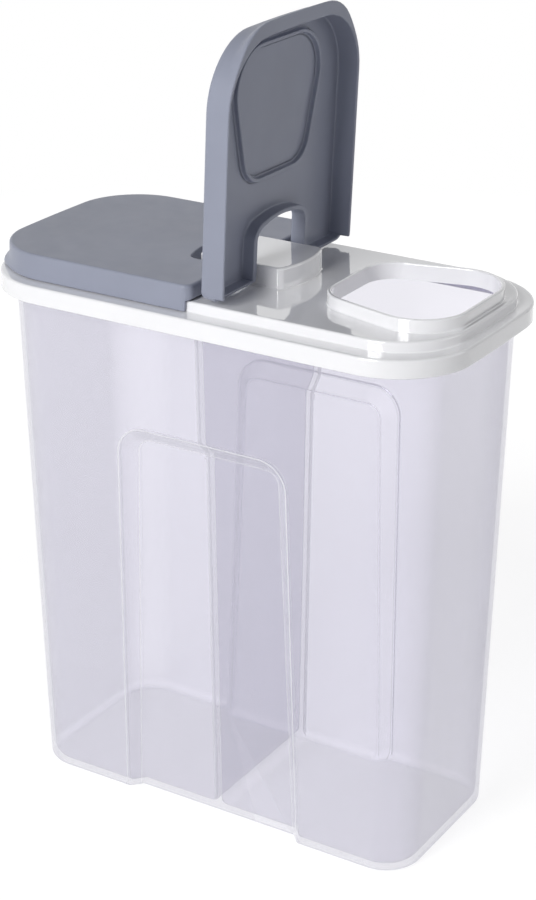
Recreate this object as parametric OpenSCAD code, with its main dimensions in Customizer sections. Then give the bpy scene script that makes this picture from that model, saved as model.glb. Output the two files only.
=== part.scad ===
// Two-compartment dry food keeper with a lift-off lid and two flip caps over pour openings.
// Millimetres, +Z up, origin at the centre of the base, length along X, depth along Y.
// The left cap is drawn closed and the right cap open.

/* [Keeper body] */
// Half length of the body at the base
body_half_length_base = 90.3; // [70:0.1:110]
// Half depth of the body at the base
body_half_depth_base = 40.5; // [34:0.1:55]
// Half length of the body just below its rim
body_half_length_top = 95.8; // [80:0.1:115]
// Half depth of the body just below its rim
body_half_depth_top = 47.2; // [40:0.1:60]
// Plan radius of the body's vertical corners at the base
body_corner_base = 16.5; // [8:0.5:26]
// Plan radius of the body's vertical corners at the rim
body_corner_top = 22.5; // [12:0.5:30]
// Height of the body's open top
body_height = 221.6; // [185:0.1:280]
// Thickness of the side walls and floor
body_wall = 1.8; // [1.2:0.1:3]
// Rounding of the edge between floor and walls
base_round = 3; // [1:0.1:6]
// Thickness of the wall that parts the two compartments
divider_thickness = 2; // [1.2:0.1:4]
// How far the dividing wall's top lies below the body's open top
divider_drop = 1.6; // [0.5:0.1:10]

/* [Grip recess] */
// Height of the recess's top edge on both long sides
grip_top = 171; // [120:0.5:180]
// Half width of the recess at its top edge
grip_half_width_top = 39.5; // [25:0.5:50]
// Half width of the recess at the base
grip_half_width_base = 42.5; // [25:0.5:52]
// How far the recess stands in from the wall at its top edge
grip_depth_top = 5.8; // [2:0.1:9]
// How far the recess stands in from the wall at the base
grip_depth_base = 4.5; // [2:0.1:9]
// Width of the sloping step round the recess at its top edge
grip_run_top = 8.5; // [3:0.5:12]
// Width of the sloping step round the recess at the base
grip_run_base = 5.5; // [3:0.5:12]
// Radius of the recess's two top corners
grip_corner = 13; // [4:0.5:20]

/* [Body rim] */
// How far the rim flange stands out from the wall
flange_reach = 4.4; // [3:0.1:7]
// Height of the rim flange with its turned-down edge
flange_height = 4.4; // [2:0.1:6]
// Thickness of the rim flange
flange_thickness = 1.6; // [1:0.1:2.5]
// Plan radius of the rim flange's corners
flange_corner = 28; // [15:0.1:36]
// How far the two ends of rim, lid and caps bow outward
end_bow = 1.5; // [0:0.1:4]

/* [Lid] */
// Gap between the rim flange and the inside of the lid
lid_gap = 0.4; // [0.3:0.05:1]
// Gap between the top of the body and the lid's ledge
lid_seat_gap = 0.3; // [0.2:0.05:1]
// Wall thickness of the lid
lid_wall = 1.6; // [1.2:0.1:2.5]
// Height of the lid's rim, from its lower edge to its ledge
lid_rim_height = 7.3; // [5:0.1:14]
// Width of the ledge at the two ends
ledge_ends = 4.6; // [3:0.1:9]
// Width of the ledge along the two sides
ledge_sides = 8; // [4:0.1:10]
// Height of the raised deck above the ledge
deck_rise = 4.1; // [3:0.1:9]
// Plan radius of the corners of the deck and the caps
deck_corner = 26.3; // [15:0.1:34]

/* [Pour collars] */
// Distance from the middle to a collar's inner end
collar_inner_end = 38.7; // [36:0.1:55]
// Space between a collar's outer end and the deck's edge
collar_end_margin = 2.5; // [2:0.1:12]
// Space between a collar's side and the deck's edge, at its outer end
collar_side_margin = 13; // [4:0.1:20]
// How much less half depth a collar has at its inner end
collar_taper = 6; // [0:0.1:8]
// Plan radius of a collar's inner corners
collar_inner_corner = 15; // [8:0.1:20]
// Plan radius of a collar's outer corners
collar_outer_corner = 19.3; // [8:0.1:24]
// Height of a collar above the deck
collar_rise = 5.1; // [2:0.1:7]
// Wall thickness of a collar
collar_wall = 1.6; // [1:0.1:3]

/* [Hinge block] */
// Half length of the hinge block at its corners
block_half_length = 18.2; // [12:0.1:22]
// Half depth of the hinge block
block_half_depth = 15.9; // [10:0.1:24]
// How far the block's two ends bulge
block_bulge = 3.5; // [0:0.1:5]
// Plan radius of the block's corners
block_corner = 1.8; // [1.7:0.1:6]
// Height of the block above the deck
block_rise = 8.4; // [7:0.1:12]
// Distance from the middle to a cap's hinge axis
hinge_x = 4.9; // [4:0.1:8]
// Height of the hinge axes above the deck
hinge_rise = 4; // [3.5:0.05:4.4]
// Radius of the hinge pins
pin_radius = 1.4; // [0.8:0.05:1.6]
// Radius of the collar at the root of a pin
pin_collar_radius = 2.4; // [1.6:0.1:2.8]
// Thickness of the collar at the root of a pin
pin_collar_thickness = 0.7; // [0.3:0.1:0.8]
// Gap between the end of a pin and the bottom of its bore
pin_end_gap = 0.3; // [0.2:0.05:0.6]

/* [Flip caps] */
// Gap between the deck's side and a cap's side wall
cap_side_gap = 0.45; // [0.3:0.05:1]
// Gap between the deck's end and a cap's end wall
cap_end_gap = 0.6; // [0.4:0.05:1.5]
// Gap between the ledge and a cap's lower edge
cap_ledge_gap = 0.4; // [0.3:0.05:1.5]
// Gap between a collar's top edge and the cap above it
cap_seat_gap = 0.3; // [0.3:0.05:1.5]
// Gap between the deck and the parts of a cap that turn above it
cap_deck_gap = 0.3; // [0.3:0.05:1]
// Thickness of a cap's side walls
cap_wall = 1.4; // [1:0.05:2]
// Thickness of a cap's end wall
cap_end_wall = 2.2; // [1:0.05:3]
// Thickness of a cap's top
cap_panel = 1.2; // [1:0.1:2.2]
// Rounding of a cap's top edge
cap_edge_round = 1.2; // [0.5:0.1:2]
// How far a cap's walls lean in towards the top
cap_draft = 0.3; // [0:0.05:0.6]
// How far a cap reaches past its hinge axis
cap_overhang = 2.4; // [2:0.05:2.6]
// Plan radius of a cap's hinge corners
cap_hinge_corner = 4; // [3:0.1:12]
// Opening angle at which the right cap is drawn
open_angle = 87.5; // [0:0.5:90]
// Radial clearance of a hinge bore round its pin
hinge_clearance = 0.08; // [0.03:0.01:0.1]
// Thickness left outside a hinge bore
ear_skin = 0.7; // [0.4:0.1:1]

/* [Finger lip] */
// How far the lip stands out beyond a cap's outer end
lip_reach = 3.3; // [0:0.1:5]
// Half width of the lip where it is at full reach
lip_half_width = 34; // [5:0.5:36]
// Length over which the lip fades on either side
lip_fade = 12; // [8:0.5:24]
// Height of the lip's upper edge above the cap's lower edge
lip_height = 5.2; // [3:0.1:7]

/* [Arch round the hinge block] */
// Gap between the hinge block's sides and the arch
arch_side_gap = 1.5; // [0.9:0.05:3]
// Gap between the hinge block's end and the arch
arch_end_gap = 4; // [1:0.1:5]
// Plan radius of the arch's corners
arch_corner = 3; // [1:0.5:14]
// Thickness of the walls along the arch's sides, which hold the pins
arch_wall = 2.5; // [2:0.1:4]
// Thickness of the wall across the arch's end
arch_end_wall = 1.6; // [1:0.1:4]

/* [Plug ring] */
// Gap between the plug ring and the collar it fits into
plug_gap = 0.5; // [0.3:0.05:1.5]
// Wall thickness of the plug ring
plug_wall = 1.5; // [0.8:0.1:2.5]
// How far the plug ring reaches below the cap's top panel
plug_depth = 2; // [1:0.1:4]

/* [View] */
// Part to draw: "all", "container", "lid", "cap_left" or "cap_right"

/* [Hidden] */
// Segments in each corner of a plan outline
corner_steps = 7;
// Smoothness of the round pins and bores
round_steps = 48;
// Overlap that joins solids of one piece
joint_overlap = 0.2;
// Extra length of a cutting solid beyond the face it cuts
cut_margin = 1;
// Rounding of the edge between floor and walls, inside
inner_round = base_round + 1;
// Rim flange outline
flange_half_length = body_half_length_top + flange_reach;
flange_half_depth = body_half_depth_top + flange_reach;
flange_bottom = body_height - flange_height;
// Lid outlines and levels
lid_half_length = flange_half_length + lid_gap + lid_wall;
lid_half_depth = flange_half_depth + lid_gap + lid_wall;
lid_corner = flange_corner + lid_gap + lid_wall;
lid_inside = body_height + lid_seat_gap;
ledge_height = lid_inside + lid_wall;
rim_bottom = ledge_height - lid_rim_height;
deck_half_length = lid_half_length - ledge_ends;
deck_half_depth = lid_half_depth - ledge_sides;
deck_height = ledge_height + deck_rise;
// Collar outline and level
collar_outer_end = deck_half_length + end_bow - collar_end_margin;
collar_half_outer = deck_half_depth - collar_side_margin;
collar_half_inner = collar_half_outer - collar_taper;
collar_top = deck_height + collar_rise;
// Hinge block, pins and axes
block_top = deck_height + block_rise;
hinge_z = deck_height + hinge_rise;
arch_half_width = block_half_depth + arch_side_gap;
arch_end = block_half_length + arch_end_gap;
bore_end = arch_half_width + arch_wall - ear_skin;
pin_end = bore_end - pin_end_gap;
bore_radius = pin_radius + hinge_clearance;
// Cap outline and levels
cap_outer_end = deck_half_length + cap_end_gap + cap_end_wall;
cap_half_depth = deck_half_depth + cap_side_gap + cap_wall;
cap_hinge_end = hinge_x - cap_overhang;
cap_bottom = ledge_height + cap_ledge_gap;
cap_underside = collar_top + cap_seat_gap;
cap_top = cap_underside + cap_panel;
cap_deck_edge = deck_height + cap_deck_gap;
hinge_sweep = hinge_rise - cap_deck_gap;
// A cutting solid larger than the whole part
big = 2 * (lid_half_length + block_top);

// Fraction limited to 0 and 1
function unit(t) = min(1, max(0, t));

// Smooth change from 0 to 1
function smooth(t) = let (u = unit(t)) u * u * (3 - 2 * u);

// Value between a and b
function blend(a, b, t) = a + (b - a) * t;

// Reversed list
function reverse(list) = [for (i = [len(list) - 1:-1:0]) list[i]];

// Outward bow of an end, full at the middle of its depth and none at its corners
function bow_at(x, y, half_length, half_depth, corner, bow) =
    bow * (1 - pow(y / half_depth, 2)) * unit((abs(x) - half_length + corner) / corner) * sign(x);

// Points of one corner of a plan outline, from angle start through angle span
function corner_arc(cx, cy, r, start, span = 90) =
    [
        for (i = [0:corner_steps])
            let (a = start + span * i / corner_steps)
                [cx + r * cos(a), cy + r * sin(a)]
    ];

// Points down a straight end, without its two end points
function end_points(x, reach) = [for (t = [0.75:-0.25:-0.75]) [x, reach * t]];

// Rounded rectangle with bowed ends, counter-clockwise
function keeper_outline(half_length, half_depth, corner, bow) =
    let (
        cx = half_length - corner,
        cy = half_depth - corner,
        plain = concat(
            corner_arc(cx, cy, corner, 0),
            corner_arc(-cx, cy, corner, 90),
            end_points(-half_length, cy),
            corner_arc(-cx, -cy, corner, 180),
            corner_arc(cx, -cy, corner, 270),
            reverse(end_points(half_length, cy))
        )
    )
    [for (p = plain) [p[0] + bow_at(p[0], p[1], half_length, half_depth, corner, bow), p[1]]];

// Solid prism over a plan outline
module prism(points, z_low, z_high) {
    translate([0, 0, z_low])
        linear_extrude(height = z_high - z_low)
            polygon(points);
}

// Triangles that close a ring whose points mirror each other across Y = 0, in strips across its depth
function strips(count) =
    [
        for (i = [0:count / 2 - 2])
            let (j = count - 1 - i)
                for (face = [[i, i + 1, j], [i + 1, j - 1, j]])
                    face
    ];

// Closed solid through plan rings, each a list of 3-D points with equal counts
module loft(rings, mirrored = false) {
    count = len(rings[0]);
    last = len(rings) - 1;
    points = [for (ring = rings) for (p = ring) p];
    sides = [
        for (k = [0:last - 1])
            for (i = [0:count - 1])
                let (
                    a = k * count + i,
                    b = k * count + (i + 1) % count,
                    c = a + count,
                    d = b + count
                )
                    for (face = [[a, d, b], [a, c, d]])
                        face
    ];
    floor_faces = mirrored ? strips(count) : [[for (i = [0:count - 1]) i]];
    roof_faces = [for (face = floor_faces) [for (i = reverse(face)) last * count + i]];
    polyhedron(points = points, faces = concat(sides, floor_faces, roof_faces), convexity = 6);
}

// Same shape on both sides of the X = 0 plane
module both_ends() {
    children();
    mirror([1, 0, 0])
        children();
}

// Same shape on both sides of the Y = 0 plane
module both_sides() {
    children();
    mirror([0, 1, 0])
        children();
}

// ---- Keeper body ----

// Half width of the grip recess at height z
function grip_half_width(z) = blend(grip_half_width_base, grip_half_width_top, unit(z / grip_top));

// Width of the recess's sloping step at height z
function grip_run(z) = blend(grip_run_base, grip_run_top, unit(z / grip_top));

// How far the recess stands in from the wall at a point of a long side
function grip_in(x, z) =
    let (
        from_side = grip_half_width(z) - abs(x),
        from_top = grip_top - z,
        in_corner = from_side < grip_corner && from_top < grip_corner,
        corner_distance = grip_corner - norm([grip_corner - from_side, grip_corner - from_top]),
        distance = in_corner ? corner_distance : min(from_side, from_top)
    )
    blend(grip_depth_base, grip_depth_top, unit(z / grip_top)) * smooth(distance / grip_run(z));

// Distances from a recess edge at which a long side is sampled, in widths of its sloping step
grip_stations = [-0.3, 0, 0.2, 0.4, 0.6, 0.8, 1, 1.3, 1.7];

// Positions along a long side at height z, from +X to -X
function side_stations(z) =
    let (half = [for (s = grip_stations) grip_half_width(z) - s * grip_run(z)])
    concat(half, [for (t = [0.6, 0, -0.6]) t * half[len(half) - 1]], [for (x = reverse(half)) -x]);

// Plan ring of the body's skin at height z, set in by inset
function body_ring(z, inset) =
    let (
        t = z / rim_bottom,
        half_length = blend(body_half_length_base, body_half_length_top, t) - inset,
        half_depth = blend(body_half_depth_base, body_half_depth_top, t) - inset,
        corner = max(blend(body_corner_base, body_corner_top, t) - inset, joint_overlap),
        cx = half_length - corner,
        cy = half_depth - corner,
        side = [for (x = side_stations(z)) [x, half_depth - grip_in(x, z)]],
        plan = concat(
            corner_arc(cx, cy, corner, 0),
            side,
            corner_arc(-cx, cy, corner, 90),
            corner_arc(-cx, -cy, corner, 180),
            [for (p = side) -p],
            corner_arc(cx, -cy, corner, 270)
        )
    )
    [for (p = plan) [p[0], p[1], z]];

// Heights of the skin's rings above the rounded base edge
skin_levels = concat(
    [for (t = [0.25, 0.5, 0.75]) t * grip_top],
    [for (s = [1.5, 1.2, 1, 0.8, 0.6, 0.4, 0.2, 0, -0.2]) grip_top - s * grip_run_top]
);

// Skin of the body, set in by inset, with a rounded lower edge
module body_skin(inset, edge_round, z_low, z_high) {
    edge = [
        for (a = [0:22.5:67.5])
            body_ring(z_low + edge_round * (1 - cos(a)), inset + edge_round * (1 - sin(a)))
    ];
    wall = [for (z = concat([z_low + edge_round], skin_levels, [z_high])) body_ring(z, inset)];
    loft(concat(edge, wall), mirrored = true);
}

// Turned-down flange round the open top
module body_flange() {
    inside_length = flange_half_length - flange_thickness;
    inside_depth = flange_half_depth - flange_thickness;
    inside_corner = flange_corner - flange_thickness;
    difference() {
        prism(
            keeper_outline(flange_half_length, flange_half_depth, flange_corner, end_bow),
            flange_bottom,
            body_height
        );
        prism(
            keeper_outline(inside_length, inside_depth, inside_corner, end_bow),
            flange_bottom - cut_margin,
            body_height - flange_thickness
        );
        prism(
            keeper_outline(
                body_half_length_top - joint_overlap,
                body_half_depth_top - joint_overlap,
                body_corner_top,
                0
            ),
            flange_bottom - cut_margin,
            body_height + cut_margin
        );
    }
}

// Wall between the two compartments
module divider() {
    translate([-divider_thickness / 2, -body_half_depth_top, 0])
        cube([divider_thickness, 2 * body_half_depth_top, body_height - divider_drop]);
}

module container() {
    color([0.84, 0.84, 0.92, 0.45])
        union() {
            difference() {
                body_skin(0, base_round, 0, body_height);
                difference() {
                    body_skin(body_wall, inner_round, body_wall, body_height + cut_margin);
                    divider();
                }
            }
            body_flange();
        }
}

// ---- Lid ----

// Four-sided outline with rounded corners that widens towards its outer end, grown by grow
function collar_outline(grow) =
    let (
        ri = collar_inner_corner,
        ro = collar_outer_corner,
        inner_x = collar_inner_end + ri,
        outer_x = collar_outer_end - ro,
        inner_y = collar_half_inner - ri,
        outer_y = collar_half_outer - ro,
        apart = norm([outer_x - inner_x, outer_y - inner_y]),
        lean = atan2(outer_y - inner_y, outer_x - inner_x) + asin((ro - ri) / apart)
    )
    concat(
        corner_arc(inner_x, -inner_y, ri + grow, 180, 90 - lean),
        corner_arc(outer_x, -outer_y, ro + grow, 270 - lean, 90 + lean),
        corner_arc(outer_x, outer_y, ro + grow, 0, 90 + lean),
        corner_arc(inner_x, inner_y, ri + grow, 90 + lean, 90 - lean)
    );

// Hinge block outline, set in by inset
function block_outline(inset) =
    keeper_outline(block_half_length - inset, block_half_depth - inset, block_corner - inset, block_bulge);

// Hinge pins at the +Y side of the block, each with a round collar at its root
module pins() {
    root = block_half_depth - joint_overlap;
    for (x = [-hinge_x, hinge_x])
        translate([x, root, hinge_z])
            rotate([-90, 0, 0]) {
                cylinder(r = pin_collar_radius, h = pin_collar_thickness + joint_overlap, $fn = round_steps);
                cylinder(r = pin_radius, h = pin_end - root, $fn = round_steps);
            }
}

module lid() {
    color([0.95, 0.95, 0.97])
        difference() {
            union() {
                prism(
                    keeper_outline(lid_half_length, lid_half_depth, lid_corner, end_bow),
                    rim_bottom,
                    ledge_height
                );
                prism(
                    keeper_outline(deck_half_length, deck_half_depth, deck_corner, end_bow),
                    ledge_height - joint_overlap,
                    deck_height
                );
                both_ends()
                    prism(collar_outline(0), deck_height - joint_overlap, collar_top);
                prism(block_outline(0), deck_height - joint_overlap, block_top);
                both_sides()
                    pins();
            }
            prism(
                keeper_outline(
                    lid_half_length - lid_wall,
                    lid_half_depth - lid_wall,
                    lid_corner - lid_wall,
                    end_bow
                ),
                rim_bottom - cut_margin,
                lid_inside
            );
            prism(
                keeper_outline(
                    deck_half_length - lid_wall,
                    deck_half_depth - lid_wall,
                    deck_corner - lid_wall,
                    end_bow
                ),
                rim_bottom - cut_margin,
                deck_height - lid_wall
            );
            prism(block_outline(lid_wall), rim_bottom - cut_margin, block_top - lid_wall);
            both_ends()
                prism(collar_outline(-collar_wall), rim_bottom - cut_margin, collar_top + cut_margin);
        }
}

// ---- Flip caps ----

// Share of the finger lip's reach at depth y
function lip_share(y) =
    let (past = unit((abs(y) - lip_half_width) / lip_fade))
    0.5 + 0.5 * cos(180 * past);

// Right cap's plan outline, set in by inset at its sides and by end_inset at its end, with its lip
function cap_outline(inset, end_inset, lip) =
    let (
        ro = deck_corner,
        rh = cap_hinge_corner,
        ox = cap_outer_end - ro,
        oy = cap_half_depth - ro,
        ix = cap_hinge_end + rh,
        iy = cap_half_depth - rh,
        plain = concat(
            corner_arc(ox, oy, ro - inset, 0),
            corner_arc(ix, iy, rh - inset, 90),
            corner_arc(ix, -iy, rh - inset, 180),
            corner_arc(ox, -oy, ro - inset, 270),
            reverse(end_points(cap_outer_end - inset, oy))
        )
    )
    [
        for (p = plain)
            let (
                share = unit((p[0] - ox) / ro),
                bow = end_bow * (1 - pow(p[1] / cap_half_depth, 2)),
                stand = bow + lip * lip_share(p[1]) - (end_inset - inset)
            )
                [p[0] + share * stand, p[1]]
    ];

// Ring of a cap's outer skin
function cap_ring(z, inset, lip) = [for (p = cap_outline(inset, inset, lip)) [p[0], p[1], z]];

// Outer shape of the right cap in its closed place
module cap_outer() {
    top_start = cap_top - cap_edge_round;
    walls = [
        cap_ring(cap_bottom, 0, lip_reach),
        cap_ring(cap_bottom + lip_height * 0.2, 0, lip_reach),
        cap_ring(cap_bottom + lip_height * 0.6, cap_draft / 3, lip_reach * 0.85),
        cap_ring(cap_bottom + lip_height, cap_draft * 2 / 3, 0)
    ];
    edge = [
        for (a = [0:30:90])
            cap_ring(
                top_start + cap_edge_round * sin(a),
                cap_draft + cap_edge_round * (1 - cos(a)),
                0
            )
    ];
    loft(concat(walls, edge));
}

// Arch outline round the hinge block, grown outward at its sides and at its end, with the bulge of the block
function arch_outline(side_grow, end_grow) =
    let (
        half_width = arch_half_width + side_grow,
        r = arch_corner + side_grow,
        cx = arch_end + end_grow - r,
        cy = half_width - r,
        reach = cap_hinge_end - cut_margin,
        plain = concat(
            [[reach, -half_width]],
            corner_arc(cx, -cy, r, 270),
            reverse(end_points(cx + r, cy)),
            corner_arc(cx, cy, r, 0),
            [[reach, half_width]]
        )
    )
    [
        for (p = plain)
            [p[0] + block_bulge * (1 - pow(p[1] / half_width, 2)) * unit((p[0] - cx) / r), p[1]]
    ];

// What is cut away behind the hinge axis, so that the cap clears the deck as it turns
module hinge_end_relief() {
    difference() {
        translate([hinge_x - big, -big / 2, cap_bottom - cut_margin])
            cube([big, big, hinge_z - cap_bottom + cut_margin]);
        translate([hinge_x, -big, hinge_z])
            rotate([-90, 0, 0])
                cylinder(r = hinge_sweep, h = 2 * big, $fn = round_steps);
    }
}

// Ring that plugs the pour collar
module plug_ring() {
    outer_inset = -collar_wall - plug_gap;
    difference() {
        prism(collar_outline(outer_inset), cap_underside - plug_depth, cap_underside + joint_overlap);
        prism(
            collar_outline(outer_inset - plug_wall),
            cap_underside - plug_depth - cut_margin,
            cap_underside + 2 * joint_overlap
        );
    }
}

// What is cut away inside the skirts next to the hinge corners, for the deck's sides
module hinge_corner_relief() {
    half_width = deck_half_depth + cap_side_gap;
    translate([hinge_x - cut_margin, -half_width, cap_bottom - cut_margin])
        cube([cap_hinge_corner + cut_margin, 2 * half_width, cap_deck_edge - cap_bottom + cut_margin]);
}

// Right cap in its closed place
module cap() {
    difference() {
        union() {
            difference() {
                cap_outer();
                prism(cap_outline(cap_wall, cap_end_wall, 0), cap_bottom - cut_margin, cap_underside);
            }
            intersection() {
                prism(arch_outline(arch_wall, arch_end_wall), cap_deck_edge, cap_underside + joint_overlap);
                prism(cap_outline(cap_wall / 2, cap_wall / 2, 0), cap_bottom, cap_top);
            }
            plug_ring();
        }
        prism(arch_outline(0, 0), cap_bottom - cut_margin, cap_top + cut_margin);
        hinge_end_relief();
        hinge_corner_relief();
        translate([hinge_x, -bore_end, hinge_z])
            rotate([-90, 0, 0])
                cylinder(r = bore_radius, h = 2 * bore_end, $fn = round_steps);
    }
}

module cap_left() {
    color([0.5, 0.52, 0.58])
        mirror([1, 0, 0])
            cap();
}

module cap_right() {
    color([0.5, 0.52, 0.58])
        translate([hinge_x, 0, hinge_z])
            rotate([0, -open_angle, 0])
                translate([-hinge_x, 0, -hinge_z])
                    cap();
}

container();
lid();
cap_left();
cap_right();
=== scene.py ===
from math import asin, atan2, cos, degrees, pi, radians, sin, sqrt, tan

import bmesh
import bpy
from bpy.props import FloatProperty, FloatVectorProperty, PointerProperty
from mathutils import Matrix, Vector


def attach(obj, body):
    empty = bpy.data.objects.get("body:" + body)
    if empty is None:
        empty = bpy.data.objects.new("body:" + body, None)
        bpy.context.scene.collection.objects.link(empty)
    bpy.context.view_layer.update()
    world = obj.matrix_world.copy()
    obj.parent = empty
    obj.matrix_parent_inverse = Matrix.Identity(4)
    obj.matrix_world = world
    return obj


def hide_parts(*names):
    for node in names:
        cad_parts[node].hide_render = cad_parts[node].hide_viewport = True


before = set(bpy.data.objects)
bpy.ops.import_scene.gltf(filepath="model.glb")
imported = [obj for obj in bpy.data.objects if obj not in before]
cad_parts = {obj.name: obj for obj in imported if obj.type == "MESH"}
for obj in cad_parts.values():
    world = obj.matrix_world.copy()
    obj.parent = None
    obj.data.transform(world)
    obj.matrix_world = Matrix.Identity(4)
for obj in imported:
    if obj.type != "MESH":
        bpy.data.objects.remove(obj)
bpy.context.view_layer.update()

bl_info = {
    "name": "Flip-spout keeper",
    "version": (1, 0, 0),
    "blender": (4, 5, 0),
    "location": "3D View > Sidebar > Keeper",
    "description": "Builds a clear two-compartment keeper, its lid and its two flip caps",
    "category": "Add Mesh",
}

ARC_STEPS = 14  # segments in a corner of an outline
# The grip recess's step: a straight slope between two shares of its run, tightly rounded at each,
# and the shares at which the mesh has an edge along it
SLOPE_START, SLOPE_END, SLOPE_EASE = 0.12, 0.88, 0.05
STEP_SHARES = (-0.4, 0.0, 0.07, 0.095, 0.12, 0.145, 0.17, 0.25, 0.38, 0.5)
STEP_SHARES += tuple(1 - share for share in reversed(STEP_SHARES[:-1])) + (1.8,)
# Heights of the body's rings: shares of the recess's height below its step, and of the step's run
LOW_LEVELS = (0.12, 0.3, 0.48, 0.65, 0.76)
TOP_LEVELS = STEP_SHARES + (-0.1, 0.03, 0.21, 0.31, 0.44, 0.6, 0.68, 1.12, 1.25, 1.53, 2.4)
# Heights of a cap's rings, as shares from its lower edge to its top edge's rounding
CAP_LEVELS = (0.92, 0.8, 0.68, 0.6, 0.52, 0.44, 0.36, 0.28, 0.2, 0.12, 0.05, 0.0)
HALF_END = (0.8, 0.6, 0.4, 0.2)  # places along the half of an end, from its corner inwards
BAR_SEGMENTS, BORE_SEGMENTS = 40, 48
SHARP_ANGLE = radians(38)
EDGE = 0.0005  # radius of a small rounded edge
EMBED = 0.0003  # how deep a rib is sunk into the wall that carries it
FLAT = 0.0016  # how far a flat face keeps even shading past a rounded edge
HIGHLIGHT_LAYER = "painted_edge_highlight"  # the body's attribute that is 1 along its moulded edges, where it lays a painted highlight
# How strongly the painted highlight shows on those edges, where 1 is the whole of Body edge line:
# the outer and the inner end of the recess's slope, the divider's rounding, and the share that is
# left on the inner face
OUTER_HIGHLIGHT, INNER_HIGHLIGHT, DIVIDER_HIGHLIGHT, INSIDE_SHARE = 1.6, 0.6, 0.8, 0.35


# ---------------------------------------------------------------- sizes and colours


def length(name, description, metres):
    """A size in metres."""
    return FloatProperty(
        name=name, description=description, default=metres, unit="LENGTH", precision=5
    )


def colour(name, description, value):
    """A colour in linear light."""
    return FloatVectorProperty(
        name=name, description=description, default=value, size=3, subtype="COLOR", min=0, max=1
    )


def share(name, description, value):
    """A plain number from 0 to 1."""
    return FloatProperty(
        name=name, description=description, default=value, min=0, max=1, subtype="FACTOR"
    )


class KEEPER_body(bpy.types.PropertyGroup):
    """Sizes of the clear body."""

    base_half_length: length("Base half length", "Half length at the base", 0.0903)
    base_half_depth: length("Base half depth", "Half depth at the base", 0.0405)
    top_half_length: length("Top half length", "Half length below the rim", 0.0958)
    top_half_depth: length("Top half depth", "Half depth below the rim", 0.0472)
    base_corner: length("Base corner", "Corner radius at the base", 0.0165)
    top_corner: length("Top corner", "Corner radius below the rim", 0.0225)
    height: length("Height", "Height of the open top", 0.2216)
    wall: length("Wall", "Thickness of walls and floor", 0.0018)
    base_round: length("Base rounding", "Rounding of the lower edge", 0.003)
    divider: length("Divider", "Thickness of the wall across the middle", 0.002)
    divider_drop: length("Divider drop", "Distance of its top below the open top", 0.0016)
    divider_fillet: length("Divider fillet", "Rounding where it meets the long sides", 0.0016)
    grip_top: length("Grip top", "Height of the grip recess", 0.171)
    grip_top_width: length("Grip half width, top", "Half width at its top edge", 0.0395)
    grip_base_width: length("Grip half width, base", "Half width at the base", 0.0425)
    grip_top_depth: length("Grip depth, top", "Depth at its top edge", 0.0058)
    grip_base_depth: length("Grip depth, base", "Depth at the base", 0.0045)
    grip_top_run: length("Grip step, top", "Width of its sloping step at the top", 0.0085)
    grip_base_run: length("Grip step, base", "Width of its sloping step at the base", 0.0055)
    grip_corner: length("Grip corner", "Radius of its top corners", 0.013)
    flange_reach: length("Flange reach", "How far the rim flange stands out", 0.0044)
    flange_height: length("Flange height", "Height of the turned-down flange", 0.0044)
    flange_wall: length("Flange wall", "Thickness of the flange", 0.0016)
    flange_corner: length("Flange corner", "Corner radius of the flange", 0.028)
    bow: length("End bow", "How far the ends of rim, lid and caps bow out", 0.0015)


class KEEPER_lid(bpy.types.PropertyGroup):
    """Sizes of the lid."""

    gap: length("Rim gap", "Gap round the flange", 0.0004)
    seat_gap: length("Seat gap", "Gap above the flange", 0.0003)
    wall: length("Wall", "Wall thickness", 0.0016)
    rim_height: length("Rim height", "From the lower edge to the ledge", 0.0073)
    ledge_ends: length("Ledge at the ends", "Width of the ledge at the ends", 0.0046)
    ledge_sides: length("Ledge at the sides", "Width of the ledge at the sides", 0.008)
    deck_rise: length("Deck rise", "Height of the deck above the ledge", 0.0041)
    deck_corner: length("Deck corner", "Corner radius of the deck and the caps", 0.0263)
    collar_inner: length("Collar inner end", "From the middle to its inner end", 0.0387)
    collar_end_margin: length("Collar end margin", "From its outer end to the edge", 0.0025)
    collar_side_margin: length("Collar side margin", "From its side to the edge", 0.013)
    collar_taper: length("Collar taper", "Half depth lost at its inner end", 0.006)
    collar_inner_corner: length("Collar inner corner", "Radius at its inner end", 0.015)
    collar_outer_corner: length("Collar outer corner", "Radius at its outer end", 0.0193)
    collar_rise: length("Collar rise", "Height of a collar above the deck", 0.0051)
    collar_wall: length("Collar wall", "Wall thickness of a collar", 0.0016)
    block_half_length: length("Block half length", "Half length at its corners", 0.0182)
    block_half_depth: length("Block half depth", "Half depth of the hinge block", 0.0159)
    block_bulge: length("Block bulge", "How far its ends bulge", 0.0035)
    block_corner: length("Block corner", "Corner radius of the block", 0.0018)
    block_rise: length("Block rise", "Height of the block above the deck", 0.0084)
    hinge_x: length("Hinge offset", "From the middle to a hinge axis", 0.0049)
    hinge_rise: length("Hinge rise", "Height of the axes above the deck", 0.004)
    pin_radius: length("Pin radius", "Radius of the hinge pins", 0.0014)
    pin_collar_radius: length("Pin collar radius", "Radius of a pin's collar", 0.0024)
    pin_collar: length("Pin collar", "Thickness of a pin's collar", 0.0007)


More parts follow.
